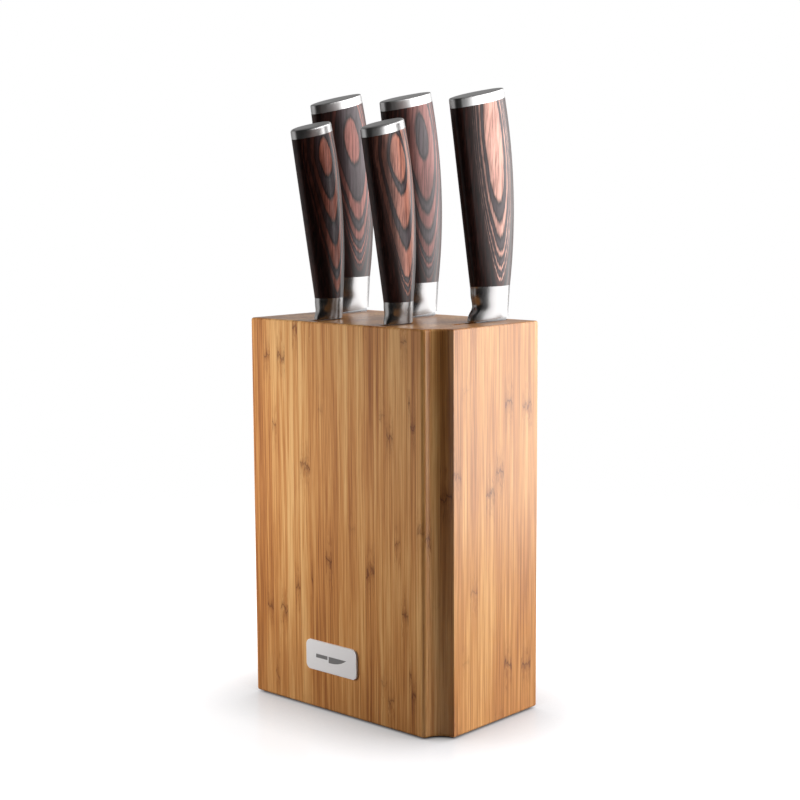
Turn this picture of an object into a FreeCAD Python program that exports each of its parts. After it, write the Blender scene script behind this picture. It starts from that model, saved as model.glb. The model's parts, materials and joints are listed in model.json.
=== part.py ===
"""Knife block with five knives: a laminated bamboo block, a thin anti-slip base pad,
a small metal badge, and five knives that lift straight up out of their slots.

Frame: +Z up, X along the block's wide face, Y into its depth. The origin is the centre
of the face that the block stands on. Every blade lies in a plane of constant X, with its
spine towards +Y and its cutting edge towards -Y.
"""
import FreeCAD, Part
import math
import os
import Sketcher
from FreeCAD import Rotation, Vector

SHEET = "Dims"
NEAR = 1e-3                        # two places this close, in mm, are the same
SAME_VOLUME = 1.0                  # and so are two volumes, in mm3

# ---------------------------------------------------------------- driving dimensions
BLOCK_DIMENSIONS = {
    "block_width": 146.0,          # along X
    "block_depth": 86.0,           # along Y
    "block_height": 225.0,         # the wood alone
    "pad_thickness": 1.0,
    "pad_inset": 3.0,              # from the block's outer faces
    "edge_round": 1.5,             # every outer edge of the wood
    "cove_radius": 11.5,           # quarter-round hollow down the front right corner
    "cove_lead_round": 2.5,        # where the wide face turns into the cove
    "slot_pitch": 27.0,            # between the planes of neighbouring blades
    "slot_width": 4.0,             # across the blade
    "slot_end_gap": 1.4,           # beyond the blade's spine and cutting edge
    "slot_floor_gap": 5.0,         # under the blade's tip
    "badge_length": 40.5,
    "badge_height": 17.7,
    "badge_thickness": 1.0,
    "badge_corner": 3.5,
    "badge_edge_bevel": 0.25,
    "badge_x": -9.0,
    "badge_z": 32.5,               # centre, above the face that the block stands on
}

# Every height of a knife is above the block's top, every place across it is behind (+)
# or in front of (-) the blade's spine.
KNIFE_DIMENSIONS = {
    "cap_height": 5.2,
    "end_radius": 5.0,             # rounding of a grip's front and back
    "shoulder_gap": 0.4,           # bolster above the block's top, at its front
    "foot_dip": 0.5,               # the bolster's blank goes this far below that gap
    "lip_round": 2.8,              # front of the bolster, at its foot
    "heel_round": 4.6,             # back of the bolster, at its foot
    "bolster_taper": 1.6,          # each side of the bolster draws in this far by its foot
    "blade_edge": 0.3,             # thickness along the cutting edge
    "ricasso_share": 0.7,          # thickness under the bolster's front over the spine's
    "tip_taper": 0.55,             # thickness of the tip over that of the heel
    "choil_drop": 6.0,             # the blade has its full depth this far below the top
    "tip_share": 0.995,            # how sharply the cutting edge runs out at the tip
    "neck_setback": 3.5,           # the blade's neck is this much shallower than the grip
    "neck_rise": 4.4,              # and goes this far up into the bolster
    "neck_drop": 1.0,              # and this far below the block's top
    "tang_front": -19.0,
    "tang_back": -5.0,
    "tang_share": 0.8,             # length of the tang in the wood over the grip's
    "serration_pitch": 8.5,
    "serration_radius": 5.5,
    "serration_depth": 1.3,
    "serrated_share": 0.84,        # of the blade's length
    "scallop_width": 10.0,
    "slab_width": 60.0,            # cutting slabs, wider and deeper than a grip
    "slab_reach": 120.0,
    "slab_height": 60.0,
}

# The rear row holds the three long knives, the front row the two short ones.
LONG_GRIP = {
    "junction": 20.0,              # where the bolster meets the wood
    "grip_length": 100.0,          # from there to about the end cap
    "base_depth": 29.6,            # front to back, at the junction
    "lean": 15.4,                  # how far the front line leans out over that length
    "spine_start": 0.0,            # the back line is start + rise * u - fall * u^2
    "spine_rise": 16.4,
    "spine_fall": 20.4,
    "half_base": 7.7,              # half the thickness at the junction
    "half_top": 9.0,
    "cap_level": 125.6,            # cap's lower plane, over the blade's spine
    "cap_tilt": 10.5,
    "cap_edge_round": 0.8,
    "foot_slope": 2.4,             # how far the bolster's foot rises towards the spine
    "waist": 1.6,                  # the bolster's front steps back this far
    "lip_reach": 5.0,              # and its lip sweeps out this far from there
    "heel_setback": 1.8,           # foot of the bolster and blade, in front of the spine line
}
SHORT_GRIP = {
    "junction": 12.5,
    "grip_length": 91.5,
    "base_depth": 20.8,
    "lean": 17.0,
    "spine_start": -1.8,
    "spine_rise": 11.0,
    "spine_fall": 16.0,
    "half_base": 7.0,
    "half_top": 8.3,
    "cap_level": 109.4,
    "cap_tilt": 12.0,
    "cap_edge_round": 1.5,
    "foot_slope": 0.5,
    "waist": 0.4,
    "lip_reach": 1.6,
    "heel_setback": 2.3,
}
KNIVES = {
    "bread": dict(LONG_GRIP, place=-2, spine_y=37.0, blade_length=200.0, blade_depth=31.0,
                  belly=9.0, blade_thickness=2.2, cap_level=127.0, cap_tilt=12.0,
                  junction=21.6, grip_length=98.4, base_depth=29.8, lean=15.2),
    "paring": dict(SHORT_GRIP, place=-1, spine_y=-12.8, blade_length=92.0, blade_depth=21.0,
                   belly=2.4, blade_thickness=1.8, spine_rise=9.5),
    "carving": dict(LONG_GRIP, place=0, spine_y=38.3, blade_length=200.0, blade_depth=32.0,
                    belly=4.5, blade_thickness=2.3),
    "utility": dict(SHORT_GRIP, place=1, spine_y=-12.5, blade_length=130.0, blade_depth=23.0,
                    belly=3.0, blade_thickness=2.0, base_depth=21.6, spine_rise=13.0,
                    spine_fall=18.0),
    "chefs": dict(LONG_GRIP, place=2, spine_y=37.6, blade_length=200.0, blade_depth=45.0,
                  belly=2.6, blade_thickness=2.5, base_depth=29.9, lean=17.5),
}
SERRATED = ("bread",)
BLADE_STEPS = 12                   # wedge sections from heel to tip
GRIP_STATIONS = (0.0, 0.25, 0.5, 0.75, 1.0, 1.22)
# Share of the way down the bolster, of the waist, of the lip's reach and of its narrowing.
BOLSTER_STATIONS = (
    (0.20, 0.25, 0.0, 0.0),
    (0.40, 0.70, 0.0, 0.08),
    (0.58, 1.00, 0.05, 0.30),
    (0.73, 1.00, 0.55, 0.65),
    (0.87, 1.00, 0.95, 0.92),
    (1.00, 1.00, 0.95, 1.00),
)


# ---------------------------------------------------------------- document and helpers
class CellNames(dict):
    def __missing__(self, name):
        return f"{SHEET}.{name}"


def cells(text):
    """The expression text with each {name} replaced by the sheet's cell of that name."""
    return text.format_map(CellNames())


def number(text):
    return float(sheet.evalExpression(cells(text)))


def bind(item, **expressions):
    for name, text in expressions.items():
        item.setExpression(name.replace("__", "."), cells(text))


def fill_sheet():
    rows = dict(BLOCK_DIMENSIONS)
    rows.update(KNIFE_DIMENSIONS)
    for knife, sizes in KNIVES.items():
        rows.update({f"{knife}_{name}": size for name, size in sizes.items()})
    for row, (name, size) in enumerate(rows.items(), start=1):
        sheet.set(f"A{row}", name)
        sheet.set(f"B{row}", str(size))
        sheet.setAlias(f"B{row}", name)


def add(kind, label):
    item = doc.addObject(kind, label)
    item.Label = label
    return item


def box(label, x, y, z, length, width, height):
    item = add("Part::Box", label)
    bind(item, Placement__Base__x=x, Placement__Base__y=y, Placement__Base__z=z,
         Length=length, Width=width, Height=height)
    return item


def boolean(kind, label, base, tool):
    item = add(f"Part::{kind}", label)
    item.Base = base
    item.Tool = tool
    return item


def plane_of(body, role):
    return next(item for item in body.Origin.OriginFeatures if item.Role == role)


def sketch_on(body, name, role, offset="0"):
    sketch = body.newObject("Sketcher::SketchObject", name)
    sketch.AttachmentSupport = (plane_of(body, role), [""])
    sketch.MapMode = "FlatFace"
    bind(sketch, AttachmentOffset__Base__z=offset)
    return sketch


def constrain(sketch, expressions):
    """Adds constraints given as (type, geometry..., expression), each bound to its text."""
    for kind, *where, text in expressions:
        index = sketch.addConstraint(Sketcher.Constraint(kind, *where, number(text)))
        sketch.setExpression(f"Constraints[{index}]", cells(text))


def rectangle(sketch, left, right, low, high):
    """A rectangle whose four sides sit at the distances given by the expressions."""
    x0, x1, y0, y1 = (number(text) for text in (left, right, low, high))
    corners = [Vector(x0, y0), Vector(x1, y0), Vector(x1, y1), Vector(x0, y1)]
    for start, end in zip(corners, corners[1:] + corners[:1]):
        sketch.addGeometry(Part.LineSegment(start, end), False)
    for side in range(4):
        sketch.addConstraint(Sketcher.Constraint("Coincident", side, 2, (side + 1) % 4, 1))
        direction = "Horizontal" if side % 2 == 0 else "Vertical"
        sketch.addConstraint(Sketcher.Constraint(direction, side))
    constrain(sketch, [("DistanceX", -1, 1, 0, 1, left), ("DistanceX", -1, 1, 1, 1, right),
                       ("DistanceY", -1, 1, 0, 1, low), ("DistanceY", -1, 1, 2, 1, high)])


def pad(body, sketch, length, name="Pad"):
    item = body.newObject("PartDesign::Pad", name)
    item.Profile = sketch
    bind(item, Length=length)
    sketch.Visibility = False
    body.Tip = item
    return item


def rounded(body, base, kind, edges, size):
    """A Fillet or Chamfer of the base feature along the named edges."""
    item = body.newObject(f"PartDesign::{kind}", kind)
    item.Base = (base, edges)
    bind(item, **{"Radius" if kind == "Fillet" else "Size": size})
    body.Tip = item
    doc.recompute()
    return item


def edges_where(feature, test):
    """Names of the feature's edges whose middle point passes the test."""
    names = []
    for index, edge in enumerate(feature.Shape.Edges, start=1):
        middle = edge.valueAt((edge.FirstParameter + edge.LastParameter) / 2)
        if test(middle):
            names.append(f"Edge{index}")
    return names


# ---------------------------------------------------------------- the bamboo block
def outer_faces_at(point):
    """How many of the block's outer faces the point lies on."""
    half_width, half_depth = number("{block_width} / 2"), number("{block_depth} / 2")
    low, high = number("{pad_thickness}"), number("{pad_thickness} + {block_height}")
    cove = math.hypot(point.x - half_width, point.y + half_depth) - number("{cove_radius}")
    gaps = (point.x + half_width, point.x - half_width, point.y + half_depth,
            point.y - half_depth, point.z - low, point.z - high, cove)
    return sum(abs(gap) < NEAR for gap in gaps)


def board(label, left, right, front="-{block_depth} / 2", back="{block_depth} / 2",
          top="{pad_thickness} + {block_height}"):
    """An upright board or strip of bamboo, its corners given by the expressions."""
    body = add("PartDesign::Body", label)
    sketch = sketch_on(body, "Outline", "XY_Plane", "{pad_thickness}")
    rectangle(sketch, left, right, front, back)
    solid = pad(body, sketch, f"{top} - {{pad_thickness}}")
    doc.recompute()
    outer = edges_where(solid, lambda point: outer_faces_at(point) == 2)
    if outer:
        rounded(body, solid, "Fillet", outer, "{edge_round}")
    return body


def cut_cove(body, level, radius):
    """Cuts a quarter-round hollow of the radius down the front right corner."""
    cutter = sketch_on(body, "CoveCircle", "XY_Plane", level)
    corner = Vector(number("{block_width} / 2"), -number("{block_depth} / 2"))
    circle = Part.Circle(corner, Vector(0, 0, 1), number(radius))
    cutter.addGeometry(circle, False)
    constrain(cutter, [("Radius", 0, radius),
                       ("DistanceX", -1, 1, 0, 3, "{block_width} / 2"),
                       ("DistanceY", 0, 3, -1, 1, "{block_depth} / 2")])
    cove = body.newObject("PartDesign::Pocket", "Cove")
    cove.Profile = cutter
    cove.Type = "ThroughAll"
    cove.Reversed = True
    body.Tip = cove
    doc.recompute()
    return cove


def coved_end_board(label, left):
    """The right end board, with the hollow quarter-round down its front corner."""
    body = add("PartDesign::Body", label)
    sketch = sketch_on(body, "Outline", "XY_Plane", "{pad_thickness}")
    rectangle(sketch, left, "{block_width} / 2", "-{block_depth} / 2", "{block_depth} / 2")
    solid = pad(body, sketch, "{block_height}")
    doc.recompute()
    full_volume = solid.Shape.Volume

    cove = cut_cove(body, "{pad_thickness}", "{cove_radius}")
    removed = full_volume - cove.Shape.Volume
    expected = math.pi / 4 * number("{cove_radius}^2 * {block_height}")
    if abs(removed - expected) > SAME_VOLUME:
        raise RuntimeError("the cove does not cut a quarter round")

    lead_x = number("{block_width} / 2 - {cove_radius}")
    front_y = -number("{block_depth} / 2")
    lead = edges_where(cove, lambda point: abs(point.x - lead_x) + abs(point.y - front_y) < NEAR)
    led = rounded(body, cove, "Fillet", lead, "{cove_lead_round}")
    joint_x = number(left)
    low, high = number("{pad_thickness}"), number("{pad_thickness} + {block_height}")

    def is_outer(point):
        on_joint = abs(point.x - joint_x) < NEAR
        on_rim = min(abs(point.z - low), abs(point.z - high)) < NEAR
        at_back = point.y > 0 and outer_faces_at(point) == 2
        return not on_joint and (on_rim or at_back)

    rounded(body, led, "Fillet", edges_where(led, is_outer), "{edge_round}")
    return body


def base_pad(label):
    """Thin pad under the whole block, inset from its faces and round its cove."""
    body = add("PartDesign::Body", label)
    sketch = sketch_on(body, "Outline", "XY_Plane")
    rectangle(sketch, "-{block_width} / 2 + {pad_inset}", "{block_width} / 2 - {pad_inset}",
              "-{block_depth} / 2 + {pad_inset}", "{block_depth} / 2 - {pad_inset}")
    pad(body, sketch, "{pad_thickness}")
    cut_cove(body, "0", "{cove_radius} + {pad_inset}")
    return body


def badge(label):
    """Rounded metal plate that stands proud of the wide face."""
    body = add("PartDesign::Body", label)
    sketch = sketch_on(body, "Outline", "XZ_Plane", "{block_depth} / 2")
    rectangle(sketch, "{badge_x} - {badge_length} / 2", "{badge_x} + {badge_length} / 2",
              "{badge_z} - {badge_height} / 2", "{badge_z} + {badge_height} / 2")
    plate = pad(body, sketch, "{badge_thickness}")
    doc.recompute()
    middle = -number("{block_depth} / 2 + {badge_thickness} / 2")
    corners = edges_where(plate, lambda point: abs(point.y - middle) < NEAR)
    cornered = rounded(body, plate, "Fillet", corners, "{badge_corner}")
    front = -number("{block_depth} / 2 + {badge_thickness}")
    rim = edges_where(cornered, lambda point: abs(point.y - front) < NEAR)
    rounded(body, cornered, "Chamfer", rim, "{badge_edge_bevel}")
    return body


def block():
    """Six boards with a layer of three strips between each pair: the layer leaves the slot."""
    pieces = []
    names = ("left_end_board", "left_board", "left_middle_board",
             "right_middle_board", "right_board", "right_end_board")
    order = sorted(KNIVES, key=lambda knife: KNIVES[knife]["place"])
    planes = [f"{{{knife}_place}} * {{slot_pitch}}" for knife in order]
    lefts = ["-{block_width} / 2"] + [f"{plane} + {{slot_width}} / 2" for plane in planes]
    rights = [f"{plane} - {{slot_width}} / 2" for plane in planes] + ["{block_width} / 2"]
    for name, left, right in zip(names[:-1], lefts, rights):
        pieces.append(board(name, left, right))
    pieces.append(coved_end_board(names[-1], lefts[-1]))

    for knife, plane in zip(order, planes):
        left, right = f"{plane} - {{slot_width}} / 2", f"{plane} + {{slot_width}} / 2"
        front = f"{blade_back(knife)} - {{{knife}_blade_depth}} - {{slot_end_gap}}"
        back = f"{blade_back(knife)} + {{slot_end_gap}}"
        floor = (f"{{pad_thickness}} + {{block_height}} - {{{knife}_blade_length}}"
                 " - {slot_floor_gap}")
        pieces.append(board(f"{knife}_slot_front_strip", left, right, back=front))
        pieces.append(board(f"{knife}_slot_rear_strip", left, right, front=back))
        pieces.append(board(f"{knife}_slot_floor", left, right, front, back, floor))
    return pieces


# ---------------------------------------------------------------- the knives
def blade_back(knife):
    """Y of the blade's spine, in line with the back of the bolster's foot."""
    return f"{{{knife}_spine_y}} - {{{knife}_heel_setback}}"


def oval_sketch(name, knife, level, front, back, front_round, back_round, flank):
    """A level oval of four tangent arcs: a front and a back end and two long flanks."""
    sketch = add("Sketcher::SketchObject", name)
    bind(sketch, Placement__Base__x=f"{{{knife}_place}} * {{slot_pitch}}",
         Placement__Base__y=f"{{{knife}_spine_y}}",
         Placement__Base__z="{pad_thickness} + {block_height} + " + level)
    front_radius, back_radius, flank_radius = number(front_round), number(back_round), number(flank)
    front_centre = number(f"{front} + {front_round}")
    back_centre = number(f"{back} - {back_round}")
    # the flank's centre is flank - end radius away from both end centres
    to_front, to_back = flank_radius - front_radius, flank_radius - back_radius
    span = back_centre - front_centre
    along = (to_front ** 2 - to_back ** 2 + span ** 2) / (2 * span)
    flank_x = -math.sqrt(to_front ** 2 - along ** 2)
    flank_y = front_centre + along
    front_angle = math.atan2(front_centre - flank_y, -flank_x)
    back_angle = math.atan2(back_centre - flank_y, -flank_x)
    up = Vector(0, 0, 1)

    def arc(x, y, radius, start, end):
        circle = Part.Circle(Vector(x, y), up, radius)
        sketch.addGeometry(Part.ArcOfCircle(circle, start, end), False)

    arc(0, front_centre, front_radius, math.pi - front_angle, 2 * math.pi + front_angle)
    arc(flank_x, flank_y, flank_radius, front_angle, back_angle)
    arc(0, back_centre, back_radius, back_angle, math.pi - back_angle)
    arc(-flank_x, flank_y, flank_radius, math.pi - back_angle, math.pi - front_angle)
    for index in range(4):
        following = (index + 1) % 4
        sketch.addConstraint(Sketcher.Constraint("Tangent", index, 2, following, 1))
    sketch.addConstraint(Sketcher.Constraint("PointOnObject", 0, 3, -2))
    sketch.addConstraint(Sketcher.Constraint("PointOnObject", 2, 3, -2))
    sketch.addConstraint(Sketcher.Constraint("Equal", 1, 3))
    constrain(sketch, [("Radius", 0, front_round), ("Radius", 2, back_round),
                       ("Radius", 1, flank),
                       ("DistanceY", -1, 1, 0, 3, f"{front} + {front_round}"),
                       ("DistanceY", -1, 1, 2, 3, f"{back} - {back_round}")])
    return sketch


def grip_section(knife, station):
    """The grip's oval at a station u: 0 at the bolster, 1 about where the end cap starts."""
    k = knife
    front = f"-{{{k}_base_depth}} - {{{k}_lean}} * {station}"
    back = (f"{{{k}_spine_start}} + {{{k}_spine_rise}} * {station}"
            f" - {{{k}_spine_fall}} * {station ** 2}")
    half = f"({{{k}_half_base}} + ({{{k}_half_top}} - {{{k}_half_base}}) * {min(station, 1)})"
    reach = f"(({back} - ({front})) / 2 - {{end_radius}})"
    flank = f"({reach}^2 + {half}^2 - {{end_radius}}^2) / (2 * ({half} - {{end_radius}}))"
    level = f"{{{k}_junction}} + {{{k}_grip_length}} * {station}"
    name = f"{knife}_grip_section_{round(station * 100)}"
    return oval_sketch(name, knife, level, front, back, "{end_radius}", "{end_radius}", flank)


def loft(label, sections, ruled):
    item = add("Part::Loft", label)
    item.Sections = sections
    item.Solid = True
    item.Ruled = ruled
    return item


def tilted_slab(label, knife, level, tilt, height):
    """A slab whose lower plane passes through the spine line at the level, rising to the back."""
    item = box(label, f"{{{knife}_place}} * {{slot_pitch}} - {{slab_width}} / 2",
               f"{{{knife}_spine_y}} - {{slab_reach}} / 2 * cos({tilt})",
               f"{{pad_thickness}} + {{block_height}} + {level} - {{slab_reach}} / 2 * sin({tilt})",
               "{slab_width}", "{slab_reach}", height)
    item.Placement.Rotation = Rotation(Vector(1, 0, 0), number(tilt))
    bind(item, Placement__Rotation__Angle=tilt)
    return item


def filleted(label, base, test, radius):
    item = add("Part::Fillet", label)
    item.Base = base
    numbers = [int(name[4:]) for name in edges_where(base, test)]
    item.Edges = [(index, radius, radius) for index in numbers]
    return item


def blade_section(knife, index, level, depth, thickness, edge_thickness):
    """Level wedge section of the blade: the spine behind, the cutting edge in front."""
    sketch = add("Sketcher::SketchObject", f"{knife}_blade_section_{index}")
    bind(sketch, Placement__Base__x=f"{{{knife}_place}} * {{slot_pitch}}",
         Placement__Base__y=blade_back(knife),
         Placement__Base__z="{pad_thickness} + {block_height} + " + level)
    half_spine, half_edge = number(thickness) / 2, number(edge_thickness) / 2
    corners = [Vector(-half_edge, -number(depth)), Vector(half_edge, -number(depth)),
               Vector(half_spine, 0), Vector(-half_spine, 0)]
    for start, end in zip(corners, corners[1:] + corners[:1]):
        sketch.addGeometry(Part.LineSegment(start, end), False)
    for side in range(4):
        sketch.addConstraint(Sketcher.Constraint("Coincident", side, 2, (side + 1) % 4, 1))
    sketch.addConstraint(Sketcher.Constraint("Symmetric", 0, 1, 1, 1, -2))
    sketch.addConstraint(Sketcher.Constraint("Symmetric", 2, 1, 3, 1, -1, 1))
    constrain(sketch, [("DistanceX", 0, 1, 0, 2, edge_thickness),
                       ("DistanceX", 3, 1, 2, 1, thickness),
                       ("DistanceY", 0, 1, -1, 1, depth)])
    return sketch


def blade_level(knife, share):
    """Level of the blade a share of the way from its heel to its tip."""
    return f"-{{choil_drop}} - ({{{knife}_blade_length}} - {{choil_drop}}) * {share}"


def blade_depth(knife, share):
    """Spine to cutting edge there: straight at first, then curving up to the tip."""
    return f"{{{knife}_blade_depth}} * (1 - ({{tip_share}} * {share})^(2 * {{{knife}_belly}}))"


def blade(knife):
    """Wedge blade with a straight spine, a choil, a curved edge, and the tang above it."""
    k = knife
    thick, edge = f"{{{k}_blade_thickness}}", "{blade_edge}"
    neck = f"({{{k}_base_depth}} - {{neck_setback}})"
    ricasso = f"({{ricasso_share}} * {thick})"
    sections = [blade_section(k, 0, "{neck_rise}", neck, thick, ricasso),
                blade_section(k, 1, "-{neck_drop}", neck, thick, ricasso)]
    for step in range(BLADE_STEPS + 1):
        share = f"sin(90 deg * {step} / {BLADE_STEPS})"
        local = f"{thick} * (1 - (1 - {{tip_taper}}) * {share})"
        sections.append(blade_section(k, step + 2, blade_level(k, share), blade_depth(k, share),
                                      local, edge))
    body = loft(f"{k}_blade_wedge", sections, True)
    tang = box(f"{k}_tang", f"{{{k}_place}} * {{slot_pitch}} - {thick} / 2",
               f"{{{k}_spine_y}} + {{tang_front}}",
               "{pad_thickness} + {block_height} - {neck_drop}",
               thick, "{tang_back} - {tang_front}",
               f"{{{k}_junction}} + {{tang_share}} * {{{k}_grip_length}}")
    return body, tang


def serrations(knife):
    """Row of cylinders across the blade that scallop its cutting edge."""
    row = add("Part::MultiFuse", f"{knife}_scallops")
    count = int(number(f"{{serrated_share}} * {{{knife}_blade_length}} / {{serration_pitch}}"))
    scallops = []
    for index in range(1, count + 1):
        along = f"{{serration_pitch}} * {index}"
        share = f"({along} / ({{{knife}_blade_length}} - {{choil_drop}}))"
        scallop = add("Part::Cylinder", f"{knife}_scallop_{index}")
        scallop.Placement.Rotation = Rotation(Vector(0, 1, 0), 90)
        bind(scallop, Radius="{serration_radius}", Height="{scallop_width}",
             Placement__Base__x=f"{{{knife}_place}} * {{slot_pitch}} - {{scallop_width}} / 2",
             Placement__Base__y=(f"{blade_back(knife)} - {blade_depth(knife, share)}"
                                 " - {serration_radius} + {serration_depth}"),
             Placement__Base__z=("{pad_thickness} + {block_height} - {choil_drop}"
                                 f" - {along}"))
        scallops.append(scallop)
    row.Shapes = scallops
    return row


def knife_pieces(knife):
    """Blade with its tang, bolster, wooden handle and steel end cap of one knife."""
    k = knife
    wedge, tang = blade(k)
    if k in SERRATED:
        whole_blade = boolean("Cut", f"{k}_blade", boolean("Fuse", f"{k}_plain_blade", wedge, tang),
                              serrations(k))
    else:
        whole_blade = boolean("Fuse", f"{k}_blade", wedge, tang)

    grip = loft(f"{k}_grip", [grip_section(k, station) for station in GRIP_STATIONS], False)
    above = tilted_slab(f"{k}_above_wood", k, f"{{{k}_cap_level}}", f"{{{k}_cap_tilt}}",
                        "{slab_height}")
    cap_slab = tilted_slab(f"{k}_cap_slab", k, f"{{{k}_cap_level}}", f"{{{k}_cap_tilt}}",
                           "{cap_height}")
    wood = boolean("Cut", f"{k}_wood", grip, above)
    handle = boolean("Cut", f"{k}_handle", wood, tang)
    cap_blank = boolean("Common", f"{k}_cap_blank", grip, cap_slab)
    doc.recompute()
    normal = Rotation(Vector(1, 0, 0), number(f"{{{k}_cap_tilt}}")).multVec(Vector(0, 0, 1))
    top_point = Vector(0, number(f"{{{k}_spine_y}}"),
                       number(f"{{pad_thickness}} + {{block_height}} + {{{k}_cap_level}}"))
    top = normal.dot(top_point) + number("{cap_height}")
    cap = filleted(f"{k}_end_cap", cap_blank, lambda point: abs(normal.dot(point) - top) < NEAR,
                   number(f"{{{k}_cap_edge_round}}"))

    stations = [grip_section(k, 0.0)]
    stations += [bolster_section(k, *station) for station in BOLSTER_STATIONS]
    blank = loft(f"{k}_bolster_blank", stations, False)
    slope = f"atan({{{k}_foot_slope}} / {{{k}_base_depth}})"
    foot_level = f"{{shoulder_gap}} + {{{k}_foot_slope}}"
    under = tilted_slab(f"{k}_under_bolster", k, f"{foot_level} - {{slab_height}}", slope,
                        "{slab_height}")
    footed = boolean("Cut", f"{k}_bolster_footed", blank, under)
    bolster = boolean("Cut", f"{k}_bolster", footed, whole_blade)
    return [whole_blade, bolster, handle, cap]


def bolster_section(knife, down, waist, sweep, narrowing):
    """The bolster's oval a share of the way down: it draws in, and its lip sweeps forward."""
    k = knife
    level = f"{{{k}_junction}} * (1 - {down}) + ({{shoulder_gap}} - {{foot_dip}}) * {down}"
    front = f"-{{{k}_base_depth}} + {{{k}_waist}} * {waist} - {{{k}_lip_reach}} * {sweep}"
    back = f"{{{k}_spine_start}} * (1 - {down}) - {{{k}_heel_setback}} * {down}"
    front_round = f"({{end_radius}} + ({{lip_round}} - {{end_radius}}) * {narrowing})"
    back_round = f"({{end_radius}} + ({{heel_round}} - {{end_radius}}) * {down})"
    half = f"({{{k}_half_base}} - {{bolster_taper}} * {down})"
    mean = f"(({front_round} + {back_round}) / 2)"
    reach = f"(({back} - ({front})) / 2 - {mean})"
    flank = f"({reach}^2 + {half}^2 - {mean}^2) / (2 * ({half} - {mean}))"
    name = f"{knife}_bolster_section_{round(down * 100)}"
    return oval_sketch(name, knife, level, front, back, front_round, back_round, flank)


# ---------------------------------------------------------------- build, check and export
doc = FreeCAD.newDocument("KnifeBlock")
sheet = doc.addObject("Spreadsheet::Sheet", SHEET)
fill_sheet()
doc.recompute()

pieces = [base_pad("base_pad"), badge("badge_plate")] + block()
for knife_name in KNIVES:
    pieces += knife_pieces(knife_name)
doc.recompute()

failed = [item.Name for item in doc.Objects
          if "Invalid" in item.State or "Error" in item.State]
if failed:
    raise RuntimeError(f"objects that did not recompute: {failed}")
os.makedirs("parts", exist_ok=True)
for piece in pieces:
    if piece.Shape.isNull() or not piece.Shape.isValid():
        raise RuntimeError(f"{piece.Label} has no valid shape")
    piece.Shape.exportStep(f"parts/{piece.Label}.step")
    print(f"{piece.Label}: {piece.Shape.Volume:.0f} mm3, {len(piece.Shape.Solids)} solid(s)")
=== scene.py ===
"""Looks for the bamboo knife block: soft studio lighting, bamboo, laminated handles, steels and rubber."""

import json
import math

import bmesh
import bpy
from mathutils import Matrix, Vector

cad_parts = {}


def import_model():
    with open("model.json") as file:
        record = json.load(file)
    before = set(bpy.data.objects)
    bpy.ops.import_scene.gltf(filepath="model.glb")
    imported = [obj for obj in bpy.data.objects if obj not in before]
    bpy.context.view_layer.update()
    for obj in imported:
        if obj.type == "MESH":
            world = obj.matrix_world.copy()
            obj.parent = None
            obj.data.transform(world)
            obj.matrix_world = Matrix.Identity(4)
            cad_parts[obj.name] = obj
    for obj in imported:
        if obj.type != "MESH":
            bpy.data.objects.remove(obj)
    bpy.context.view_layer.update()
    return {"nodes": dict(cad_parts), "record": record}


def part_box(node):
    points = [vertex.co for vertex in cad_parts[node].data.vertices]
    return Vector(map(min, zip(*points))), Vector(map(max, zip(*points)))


MM = 0.001

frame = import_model()


# ---------------------------------------------------------------- node helpers


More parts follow.
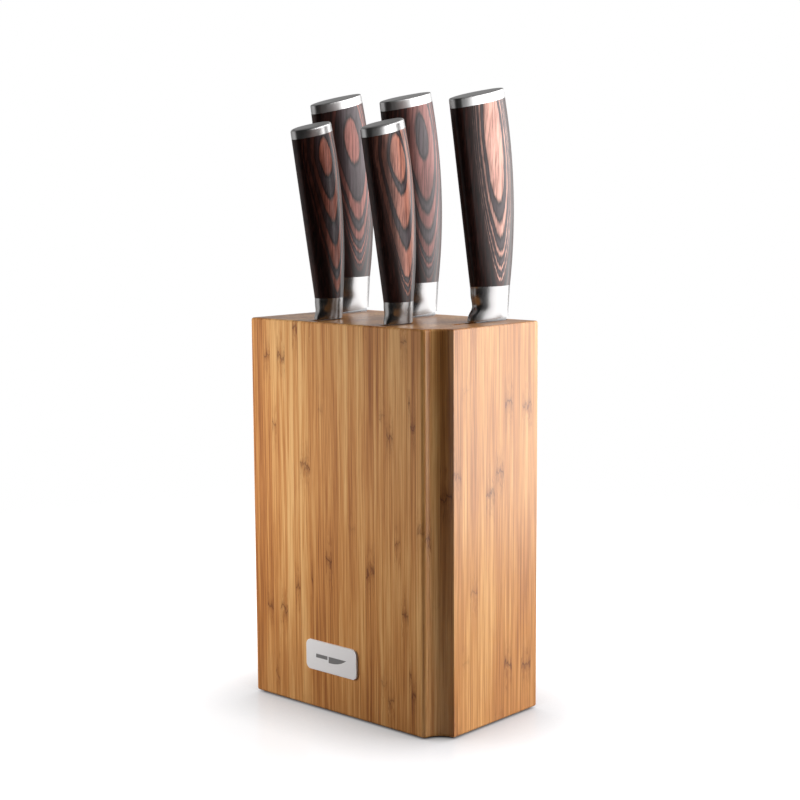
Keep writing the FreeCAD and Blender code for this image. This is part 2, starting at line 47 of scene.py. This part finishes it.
class Tree:
    """A node tree with short calls: each call adds a node and returns its output socket."""

    def __init__(self, owner):
        owner.use_nodes = True
        self.nodes = owner.node_tree.nodes
        self.links = owner.node_tree.links
        self.nodes.clear()

    def put(self, socket, value):
        if isinstance(value, bpy.types.NodeSocket):
            self.links.new(value, socket)
        elif socket.type == "RGBA" and len(value) == 3:
            socket.default_value = (*value, 1.0)
        else:
            socket.default_value = value

    def add(self, kind, inputs=None, **settings):
        node = self.nodes.new("ShaderNode" + kind)
        for name, value in settings.items():
            setattr(node, name, value)
        for name, value in (inputs or {}).items():
            self.put(node.inputs[name], value)
        return node

    def math(self, operation, *values, clamp=False):
        node = self.add("Math", dict(enumerate(values)), operation=operation, use_clamp=clamp)
        return node.outputs[0]

    def fold(self, operation, values):
        total = values[0]
        for value in values[1:]:
            total = self.math(operation, total, value)
        return total

    def plus(self, *values):
        return self.fold("ADD", values)

    def times(self, *values):
        return self.fold("MULTIPLY", values)

    def minus(self, a, b):
        return self.math("SUBTRACT", a, b)

    def absolute(self, value):
        return self.math("ABSOLUTE", value)

    def blend(self, factor, a, b):
        """The number between a and b."""
        return self.plus(a, self.times(factor, self.minus(b, a)))

    def smooth(self, value, start, end, low=0.0, high=1.0):
        """Low up to start, high from end on, and a soft step between them."""
        node = self.add(
            "MapRange",
            {"Value": value, "From Min": start, "From Max": end, "To Min": low, "To Max": high},
            interpolation_type="SMOOTHSTEP",
        )
        return node.outputs[0]

    def vector(self, operation, *values):
        return self.add("VectorMath", dict(enumerate(values)), operation=operation).outputs["Vector"]

    def length(self, vector):
        return self.add("VectorMath", {0: vector}, operation="LENGTH").outputs["Value"]

    def dot(self, a, b):
        return self.add("VectorMath", {0: a, 1: b}, operation="DOT_PRODUCT").outputs["Value"]

    def split(self, vector):
        return self.add("SeparateXYZ", {0: vector}).outputs[:3]

    def join(self, x, y, z):
        return self.add("CombineXYZ", {0: x, 1: y, 2: z}).outputs[0]

    def noise(self, place, scales, detail=2.0, roughness=0.5):
        """Cloudy numbers with this many clouds per metre along each axis."""
        inputs = {"Vector": self.vector("MULTIPLY", place, scales), "Scale": 1.0}
        inputs.update({"Detail": detail, "Roughness": roughness})
        return self.add("TexNoise", inputs).outputs[0]

    def hash(self, vector):
        """Three random numbers for a cell, as a colour."""
        return self.add("TexWhiteNoise", {"Vector": vector}).outputs["Color"]

    def cells(self, position, size, seed):
        """Random number and edge distance of cells of about this size along a line."""
        along = self.math("DIVIDE", self.plus(position, seed), size)
        inputs = {"W": along, "Scale": 1.0, "Randomness": 0.8}
        colour = self.add("TexVoronoi", inputs, voronoi_dimensions="1D").outputs["Color"]
        edge = self.add("TexVoronoi", inputs, voronoi_dimensions="1D", feature="DISTANCE_TO_EDGE")
        return self.split(colour)[0], self.times(edge.outputs["Distance"], size)

    def ramp(self, factor, stops):
        node = self.add("ValToRGB", {"Fac": factor})
        band = node.color_ramp
        while len(band.elements) < len(stops):
            band.elements.new(0.5)
        for element, (position, colour) in zip(band.elements, stops):
            element.position = position
            element.color = (*colour, 1.0)
        return node.outputs[0]

    def mix(self, factor, a, b):
        return self.add("MixRGB", {"Fac": factor, "Color1": a, "Color2": b}).outputs[0]

    def stain(self, factor, colour, tint):
        """The colour multiplied by the tint, as far as factor says."""
        node = self.add("MixRGB", {"Fac": factor, "Color1": colour, "Color2": tint}, blend_type="MULTIPLY")
        return node.outputs[0]

    def bump(self, height, strength, distance):
        return self.add("Bump", {"Height": height, "Strength": strength, "Distance": distance}).outputs[0]

    def place(self):
        """Where a point is at rest, in metres."""
        return self.add("TexCoord").outputs["Object"]

    def facing(self):
        """The way the surface faces: left-right, front-back and up-down."""
        return self.split(self.add("TexCoord").outputs["Normal"])


def surface(name, build, **constants):
    """A material whose Principled sockets take constants here and varying values from build."""
    material = bpy.data.materials.new(name)
    tree = Tree(material)
    inputs = dict(constants)
    inputs.update(build(tree))
    shader = tree.add("BsdfPrincipled", inputs)
    output = tree.add("OutputMaterial")
    tree.links.new(shader.outputs[0], output.inputs[0])
    return material


# ---------------------------------------------------------------- bamboo

STRIP_WIDTH = 5.6 * MM
STRIP_DEPTH = 8 * MM
NODE_PITCH = 150 * MM


def bamboo(name, seed):
    """Upright strips glued side by side, each with its own tone, fibres and node marks."""

    def build(tree):
        place = tree.place()
        x, y, z = tree.split(place)
        column, column_edge = tree.cells(x, STRIP_WIDTH, seed)
        row, row_edge = tree.cells(tree.plus(y, tree.times(column, 0.31)), STRIP_DEPTH, seed + 0.53)
        tone, rise, strength = tree.split(tree.hash(tree.join(column, row, seed)))
        sideways = tree.smooth(tree.absolute(tree.facing()[0]), 0.5, 0.8)
        edge = tree.blend(sideways, column_edge, row_edge)

        # node marks: one every NODE_PITCH along a strip, at a random height, and only on some strips
        turns = tree.plus(tree.math("DIVIDE", z, NODE_PITCH), rise)
        near = tree.times(tree.minus(tree.math("FRACT", turns), 0.5), NODE_PITCH)
        ripple = tree.minus(tree.noise(place, (330, 330, 150)), 0.5)
        wavy = tree.plus(near, tree.times(ripple, 15 * MM))
        wavy = tree.absolute(tree.minus(wavy, tree.times(edge, 0.4)))
        shown = tree.smooth(strength, 0.35, 0.85)
        halo = tree.times(tree.smooth(wavy, 20 * MM, 0.0), shown)
        within = tree.times(tree.smooth(edge, 0.1 * MM, 0.9 * MM), shown)
        smudge = tree.times(tree.smooth(wavy, 5.0 * MM, 0.3 * MM), within)
        core = tree.times(tree.smooth(wavy, 1.2 * MM, 0.2 * MM), within)

        # fibres: long thin streaks that swerve at the nodes
        swerve = tree.times(ripple, halo, 2.6 * MM)
        bent = tree.join(tree.plus(x, swerve), tree.plus(y, swerve), tree.plus(z, tone))
        fine = tree.noise(bent, (1250, 1250, 22), detail=3.0, roughness=0.6)
        medium = tree.noise(bent, (480, 480, 9))
        broad = tree.noise(place, (40, 40, 7), detail=1.0)
        dashes = tree.noise(bent, (1500, 1500, 70), roughness=0.6)

        level = tree.plus(
            tree.times(tone, 0.34),
            tree.smooth(medium, 0.30, 0.70, 0.0, 0.42),
            tree.smooth(fine, 0.32, 0.68, 0.0, 0.42),
            tree.smooth(broad, 0.25, 0.75, -0.24, 0.14),
        )
        colour = tree.ramp(
            level,
            [
                (0.00, (0.36, 0.121, 0.024)),
                (0.30, (0.53, 0.207, 0.051)),
                (0.60, (0.67, 0.303, 0.087)),
                (1.00, (0.86, 0.490, 0.188)),
            ],
        )
        dash = tree.times(tree.smooth(dashes, 0.56, 0.70), tree.math("ADD", halo, 0.28, clamp=True))
        joint = tree.smooth(edge, 0.30 * MM, 0.05 * MM)
        colour = tree.stain(tree.times(dash, 0.60), colour, (0.52, 0.38, 0.26))
        colour = tree.stain(tree.times(halo, 0.50), colour, (0.66, 0.56, 0.44))
        colour = tree.stain(tree.times(smudge, 0.42), colour, (0.46, 0.34, 0.24))
        colour = tree.stain(tree.times(core, 0.62), colour, (0.34, 0.22, 0.15))
        colour = tree.stain(tree.times(joint, 0.12), colour, (0.50, 0.36, 0.24))
        height = tree.minus(fine, tree.times(core, 0.6))
        return {
            "Base Color": colour,
            "Roughness": tree.smooth(fine, 0.2, 0.8, 0.36, 0.28),
            "Normal": tree.bump(height, 0.08, 0.3 * MM),
        }

    return surface(name, build)


# ---------------------------------------------------------------- laminated handles

PINK, GREY = "pink", "grey"
GREY_WOOD = (0.098, 0.067, 0.078)
GLUE = (0.014, 0.007, 0.007)
SLOPE = 0.068  # how fast a flank cuts through the veneers, going down the handle
TAPER = 1.38 * MM  # by how much a flank draws in from the handle's top to its bottom
PAIR = 1.15 * MM  # one light and one dark veneer among the thin ones deeper in
GLUE_REACH = 2.6 * MM  # how far up and down a glue line shades off, at most

# Each knife's ovals lie round a point at crest of the handle's length below its top. Bounds are the shares
# of that length, down from the point, where one veneer gives way to the next. A large blunt makes long
# ovals, first is the innermost veneer and light is the colour of the pink ones.
VENEERS = {
    "paring": {
        "crest": 0.16,
        "blunt": 3.0 * MM,
        "first": PINK,
        "bounds": (0.12, 0.25, 0.39, 0.51, 0.66, 0.71, 0.80),
        "light": (0.60, 0.190, 0.120),
        "seed": 1.0,
    },
    "utility": {
        "crest": 0.18,
        "blunt": 4.0 * MM,
        "first": PINK,
        "bounds": (0.145, 0.205, 0.405, 0.505, 0.685, 0.715, 0.735, 0.765, 0.79),
        "light": (0.78, 0.310, 0.210),
        "seed": 2.0,
    },
    "bread": {
        "crest": 0.22,
        "blunt": 8.0 * MM,
        "first": PINK,
        "bounds": (0.13, 0.34, 0.45, 0.50, 0.57, 0.61, 0.64, 0.68, 0.71),
        "light": (0.50, 0.175, 0.135),
        "seed": 3.0,
    },
    "carving": {
        "crest": 0.20,
        "blunt": 15.0 * MM,
        "first": GREY,
        "bounds": (0.125, 0.35, 0.41, 0.51, 0.58, 0.66, 0.69, 0.72, 0.77),
        "light": (0.39, 0.140, 0.118),
        "seed": 4.0,
    },
    "chefs": {
        "crest": 0.23,
        "blunt": 60.0 * MM,
        "first": PINK,
        "bounds": (0.34, 0.43, 0.51, 0.57, 0.61, 0.65, 0.68, 0.715, 0.74),
        "light": (1.00, 0.540, 0.430),
        "seed": 5.0,
    },
}


def cut(distance, blunt):
    """How deep the flank has cut into the veneers at this distance from the ovals' middle."""
    return SLOPE * (math.hypot(distance, blunt) - blunt)


def shaded(colour, share):
    return tuple(share * part for part in colour)


def veneer_stops(length, blunt, first, bounds, light, span):
    """Colour stops along depth / span: the veneers in turn, with a dark glue line at every bound, and
    painted shade that makes each veneer darker than the one before.
    """
    wood = {PINK: light, GREY: GREY_WOOD}
    kind = first
    # painted highlight: the innermost veneer, near the handle's top, is lightened
    stops = [(0.0, shaded(wood[kind], 1.12)), (0.5 * cut(bounds[0] * length, blunt) / span, wood[kind])]
    for above, bound, below in zip((0.0,) + bounds, bounds, bounds[1:] + (1.0,)):
        soft = min(GLUE_REACH, 0.42 * length * min(bound - above, below - bound))
        before, at, after = (cut(bound * length + offset, blunt) / span for offset in (-soft, 0.0, soft))
        # painted shade: each veneer further down the handle is darker, so the handle looks lit most near
        # its top
        fade = 1.06 - 0.30 * bound
        stops.append((before, shaded(wood[kind], fade)))
        stops.append((at, GLUE))
        kind = GREY if kind == PINK else PINK
        stops.append((min(after, 0.999), shaded(wood[kind], fade)))
    return stops


def laminate(knife, crest, blunt, first, bounds, light, seed):
    """Pressed veneers flat against the blade's plane, which the bulged flanks cut into nested ovals."""
    low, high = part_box(f"{knife}_handle")
    middle = (low.x + high.x) / 2
    half = (high.x - low.x) / 2
    length = high.z - low.z
    centre = high.z - crest * length
    last = cut(bounds[-1] * length, blunt)
    span = 1.05 * last
    stops = veneer_stops(length, blunt, first, bounds, light, span)

    def build(tree):
        place = tree.place()
        x, _, z = tree.split(place)

        # how deep the surface lies in the stack of veneers
        depth = tree.minus(half, tree.absolute(tree.minus(x, middle)))
        taper = tree.minus(tree.times(tree.minus(high.z, z), TAPER / length), 0.06 * MM)
        bulge = tree.math("MAXIMUM", tree.minus(depth, taper), 0.0)
        reach = tree.length(tree.join(tree.minus(z, centre), blunt, 0.0))
        sag = tree.times(tree.minus(reach, blunt), SLOPE)
        waves = tree.noise(tree.vector("ADD", place, (seed, 0, 0)), (60, 110, 30))
        frill = tree.noise(place, (1300, 1300, 55))
        warp = tree.times(tree.minus(waves, 0.5), 0.34 * MM)
        fray = tree.times(tree.minus(frill, 0.5), 0.21 * MM)
        layer = tree.plus(bulge, sag, warp, fray)
        upper = tree.ramp(tree.math("DIVIDE", layer, span), stops)

        # deeper veneers, regular and thin
        turns = tree.math("DIVIDE", tree.minus(layer, last), PAIR)
        part = tree.absolute(tree.minus(tree.math("FRACT", turns), 0.5))
        deeper = tree.mix(tree.smooth(part, 0.20, 0.32), (0.018, 0.010, 0.010), (0.090, 0.028, 0.020))
        colour = tree.mix(tree.smooth(layer, last, 1.04 * last), upper, deeper)

        # the front and back edges show the veneers edge on, as dark streaks; the surfaces facing the front
        # get the same dark streaks as painted shade
        across, backward, _ = tree.facing()
        rounded = tree.smooth(tree.absolute(across), 0.93, 0.66)
        # painted shade: facing the front darkens the handle, on top of the edge-on veneers
        edge_on_and_front_shade = tree.math("MAXIMUM", rounded, tree.smooth(backward, -0.06, -0.34))
        streak = tree.noise(place, (950, 950, 7), detail=3.0, roughness=0.65)
        edgewise_and_shade_colour = tree.ramp(streak, [(0.35, (0.009, 0.004, 0.003)), (0.64, (0.056, 0.020, 0.016))])
        colour = tree.mix(tree.times(edge_on_and_front_shade, 0.84), colour, edgewise_and_shade_colour)

        # pores, grain and slow changes of tone
        pores = tree.noise(place, (1100, 1100, 55), detail=3.0, roughness=0.65)
        grain = tree.noise(place, (420, 420, 18))
        clouds = tree.noise(tree.vector("ADD", place, (0, seed, 0)), (150, 150, 45))
        pored = tree.ramp(pores, [(0.36, (0.30, 0.22, 0.20)), (0.55, (1, 1, 1))])
        grained = tree.ramp(grain, [(0.30, (0.60, 0.53, 0.50)), (0.70, (1, 1, 1))])
        clouded = tree.ramp(clouds, [(0.34, (0.62, 0.60, 0.62)), (0.64, (1, 1, 1))])
        colour = tree.stain(0.9, colour, pored)
        colour = tree.stain(0.7, colour, grained)
        colour = tree.stain(0.8, colour, clouded)
        return {
            "Base Color": colour,
            "Roughness": tree.smooth(pores, 0.3, 0.6, 0.38, 0.30),
            "Normal": tree.bump(pores, 0.05, 0.1 * MM),
        }

    return surface(f"laminate_{knife}", build, **{"Specular IOR Level": 0.20})


# ---------------------------------------------------------------- steels and rubber


def polished_steel(tree):
    """Bolsters: the flanks, which mirror the softbox, get a darker base than the edges, painted shade that
    tones that reflection down.
    """
    place = tree.place()
    wear = tree.noise(place, (90, 90, 30), detail=3.0)
    lines = tree.noise(place, (500, 500, 4200))
    # painted shade: where the bolster faces sideways, its base colour is darker
    flank = tree.smooth(tree.absolute(tree.facing()[0]), 0.75, 0.96)
    edges = tree.mix(wear, (0.36, 0.35, 0.345), (0.42, 0.41, 0.405))
    flanks = tree.mix(wear, (0.205, 0.200, 0.199), (0.235, 0.229, 0.228))
    return {
        "Base Color": tree.mix(flank, edges, flanks),
        "Roughness": tree.smooth(wear, 0.3, 0.7, 0.24, 0.28),
        "Normal": tree.bump(lines, 0.015, 0.05 * MM),
    }


def cap_steel(tree):
    """End caps: a polished band below a satin top."""
    top = tree.smooth(tree.facing()[2], 0.80, 0.95)
    grit = tree.noise(tree.place(), (5200, 1700, 1700))
    satin = tree.mix(grit, (0.40, 0.392, 0.390), (0.54, 0.532, 0.530))
    return {
        "Base Color": tree.mix(top, (0.46, 0.454, 0.451), satin),
        "Roughness": tree.plus(tree.times(top, 0.10), 0.30, tree.times(grit, 0.04)),
        "Normal": tree.bump(tree.times(grit, top), 0.12, 0.05 * MM),
    }


def blade_steel(tree):
    """Blades: fine lines ground across the flanks."""
    place = tree.place()
    lines = tree.noise(place, (900, 60, 5200), detail=3.0, roughness=0.6)
    wear = tree.noise(place, (40, 40, 12))
    return {
        "Base Color": tree.mix(lines, (0.14, 0.14, 0.143), (0.20, 0.20, 0.204)),
        "Roughness": tree.plus(tree.smooth(lines, 0.3, 0.7, 0.20, 0.32), tree.times(wear, 0.04)),
        "Normal": tree.bump(lines, 0.10, 0.06 * MM),
    }


GRIP_MIDDLE, GRIP_HALF = -7.4 * MM, 4.6 * MM
BLADE_MIDDLE, BLADE_HALF = 5.1 * MM, 7.0 * MM
OUTLINE_HALF_HEIGHT = 1.1 * MM
BELLY_DROP = 2.6 * MM
BELLY_RISE = 3.7 * MM
BELLY_CURVE = 2.6
ENGRAVED_EDGE = 0.06 * MM


def badge_steel(tree):
    """Brushed plate with an engraved plain outline of a knife, standing in for its mark."""
    low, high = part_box("badge_plate")
    place = tree.place()
    x, _, z = tree.split(place)
    along = tree.minus(x, (low.x + high.x) / 2)
    up = tree.minus(z, (low.z + high.z) / 2)

    def under(value, limit):
        return tree.smooth(tree.minus(limit, value), -ENGRAVED_EDGE, ENGRAVED_EDGE)

    def near(value, middle, half):
        return under(tree.absolute(tree.minus(value, middle)), half)

    grip = tree.times(near(along, GRIP_MIDDLE, GRIP_HALF), near(up, 0.0, OUTLINE_HALF_HEIGHT))
    heel = BLADE_MIDDLE - BLADE_HALF
    share = tree.math("DIVIDE", tree.minus(along, heel), 2 * BLADE_HALF, clamp=True)
    belly = tree.minus(BELLY_DROP, tree.times(tree.math("POWER", share, BELLY_CURVE), BELLY_RISE))
    blade = tree.times(under(up, OUTLINE_HALF_HEIGHT), under(tree.times(up, -1.0), belly))
    blade = tree.times(blade, near(along, BLADE_MIDDLE, BLADE_HALF))
    front = tree.smooth(tree.facing()[1], -0.8, -0.95)
    mark = tree.times(tree.math("MAXIMUM", grip, blade), front)

    lines = tree.noise(place, (120, 900, 5200), detail=3.0, roughness=0.6)
    plate = tree.mix(lines, (0.95, 0.925, 0.92), (1.0, 0.98, 0.975))
    height = tree.minus(tree.times(lines, 0.1), mark)
    return {
        "Base Color": tree.mix(tree.times(mark, 0.85), plate, (0.10, 0.095, 0.092)),
        "Roughness": tree.smooth(lines, 0.3, 0.7, 0.40, 0.50),
        "Normal": tree.bump(height, 0.5, 0.05 * MM),
    }


def foam_rubber(tree):
    cells = tree.noise(tree.place(), (2200, 2200, 2200))
    return {
        "Base Color": tree.mix(cells, (0.012, 0.011, 0.010), (0.045, 0.040, 0.038)),
        "Roughness": tree.smooth(cells, 0.3, 0.7, 0.75, 0.95),
        "Normal": tree.bump(cells, 0.4, 0.2 * MM),
    }


# ---------------------------------------------------------------- dressing the pieces

BAMBOO_SEEDS = (0.0, 0.37, 0.71, 1.13)


def dress(node, material):
    mesh = frame["nodes"][node].data
    mesh.materials.clear()
    mesh.materials.append(material)


def dress_all():
    """Give every piece its slot's material; neighbouring boards and strips get different bamboo."""
    slots = {part["node"]: part["material_slot"] for part in frame["record"]["subparts"]}
    plain = {
        "pad": surface("pad", foam_rubber),
        "badge": surface("badge", badge_steel),
        "blade_steel": surface("blade_steel", blade_steel, Metallic=1.0),
        "polished_steel": surface("polished_steel", polished_steel, Metallic=1.0),
        "cap_steel": surface("cap_steel", cap_steel, Metallic=1.0),
    }
    boards = [bamboo(f"bamboo_{count}", seed) for count, seed in enumerate(BAMBOO_SEEDS)]
    laminates = {knife: laminate(knife, **veneers) for knife, veneers in VENEERS.items()}
    turn = 0
    for node in sorted(slots, key=lambda name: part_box(name)[0].x):
        if slots[node] == "bamboo":
            dress(node, boards[turn % len(boards)])
            turn += 1
        elif slots[node] == "laminated_wood":
            dress(node, laminates[node.split("_")[0]])
        else:
            dress(node, plain[slots[node]])


# ---------------------------------------------------------------- stage, light and camera

FLOOR_RADIUS = 0.7
SHADOW_REACH = 0.05
LENS = 72.4
SENSOR = 36.0
CAMERA_PLACE = (0.6229, -0.6813, 0.3008)
AZIMUTH, PITCH, ROLL = math.radians(42.17), math.radians(7.52), math.radians(-0.324)


def floor():
    """A pale round floor with a glow for the camera and a painted shadow round the block, that fades out
    at its rim, so that no horizon shows.
    """
    mesh = bpy.data.meshes.new("floor")
    shape = bmesh.new()
    bmesh.ops.create_circle(shape, cap_ends=True, segments=96, radius=FLOOR_RADIUS)
    shape.to_mesh(mesh)
    shape.free()
    item = bpy.data.objects.new("floor", mesh)
    bpy.context.scene.collection.objects.link(item)
    material = bpy.data.materials.new("floor")
    mesh.materials.append(material)

    tree = Tree(material)
    seen = tree.add("LightPath").outputs["Is Camera Ray"]
    pale = tree.mix(seen, (0.50, 0.49, 0.49), (0.30, 0.29, 0.31))
    paint = tree.add("BsdfPrincipled", {"Base Color": pale, "Roughness": 0.20, "IOR": 1.22})
    reach = tree.length(tree.place())
    # painted contact shadow: the glow only the camera sees is dimmed where the floor is occluded and near
    # the middle, round the block
    painted_shadow_ao = tree.add("AmbientOcclusion", {"Distance": SHADOW_REACH}, samples=8).outputs["AO"]
    level = tree.times(painted_shadow_ao, tree.smooth(reach, 0.07, 0.19, 0.80, 1.0))
    glow = tree.add("Emission", {"Color": (1, 1, 1), "Strength": tree.times(seen, level)})
    lit = tree.add("AddShader", {0: paint.outputs[0], 1: glow.outputs[0]})
    clear = tree.add("BsdfTransparent")
    fade = tree.smooth(reach, 0.55 * FLOOR_RADIUS, 0.98 * FLOOR_RADIUS)
    shader = tree.add("MixShader", {0: fade, 1: lit.outputs[0], 2: clear.outputs[0]})
    output = tree.add("OutputMaterial")
    tree.links.new(shader.outputs[0], output.inputs[0])


def world(camera_side, right_side):
    """Dark on the side the picture is taken from, bright at both sides, softer behind and overhead."""
    studio = bpy.data.worlds.new("studio")
    bpy.context.scene.world = studio
    tree = Tree(studio)
    direction = tree.add("TexCoord").outputs["Generated"]
    toward = tree.dot(direction, (camera_side + 0.14 * right_side).normalized())
    rightward = tree.dot(direction, right_side)
    height = tree.split(direction)[2]
    front = tree.smooth(toward, 0.56, 0.20, 0.015, 1.0)
    side = tree.plus(tree.times(rightward, 0.26), 1.02)
    behind = tree.smooth(toward, -0.2, -0.75, 1.0, 0.55)
    ceiling = tree.smooth(height, 0.20, 0.75, 1.0, 0.30)
    seen = tree.add("LightPath").outputs["Is Camera Ray"]
    strength = tree.math("MAXIMUM", tree.times(front, side, behind, ceiling), seen)
    sky = tree.add("Background", {"Color": (1, 1, 1), "Strength": strength})
    output = tree.add("OutputWorld")
    tree.links.new(sky.outputs[0], output.inputs[0])


def shine(light, place, target):
    """Put a light somewhere, aimed at a point and hidden from the camera."""
    item = bpy.data.objects.new(light.name, light)
    item.location = place
    item.rotation_euler = (Vector(target) - Vector(place)).to_track_quat("-Z", "Y").to_euler()
    item.visible_camera = False
    bpy.context.scene.collection.objects.link(item)
    return item


def right_box():
    """A large softbox at the right and behind, mirrored by the flanks and the narrow face."""
    light = bpy.data.lights.new("right_box", "AREA")
    light.shape = "RECTANGLE"
    light.size = 1.8
    light.size_y = 1.6
    light.energy = 33.0
    shine(light, place=(0.67, 0.85, 0.31), target=(0.0, 0.0, 0.13))


def left_spot():
    """A lamp at the left that fades from the middle of its beam outward and shows in no reflection."""
    light = bpy.data.lights.new("left_spot", "SPOT")
    light.spot_size = math.radians(44.0)
    light.spot_blend = 1.0
    light.shadow_soft_size = 0.08
    light.energy = 36.0
    shine(light, place=(-0.62, -0.44, 0.24), target=(-0.164, 0.049, 0.144)).visible_glossy = False


def camera():
    """The photo's viewpoint; returns the ways toward the camera and to its right."""
    level = Vector((math.cos(AZIMUTH), math.sin(AZIMUTH), 0.0))
    forward = Vector((-math.sin(AZIMUTH), math.cos(AZIMUTH), 0.0))
    ahead = math.cos(PITCH) * forward - math.sin(PITCH) * Vector((0.0, 0.0, 1.0))
    upward = level.cross(ahead)
    right = math.cos(ROLL) * level + math.sin(ROLL) * upward
    up = -math.sin(ROLL) * level + math.cos(ROLL) * upward
    data = bpy.data.cameras.new("camera")
    data.lens = LENS
    data.sensor_width = SENSOR
    item = bpy.data.objects.new("camera", data)
    turned = Matrix((right, up, -ahead)).transposed().to_4x4()
    item.matrix_world = Matrix.Translation(CAMERA_PLACE) @ turned
    bpy.context.scene.collection.objects.link(item)
    bpy.context.scene.camera = item
    return -ahead, level


bpy.context.scene.view_settings.view_transform = "Standard"
world(*camera())
floor()
right_box()
left_spot()
dress_all()
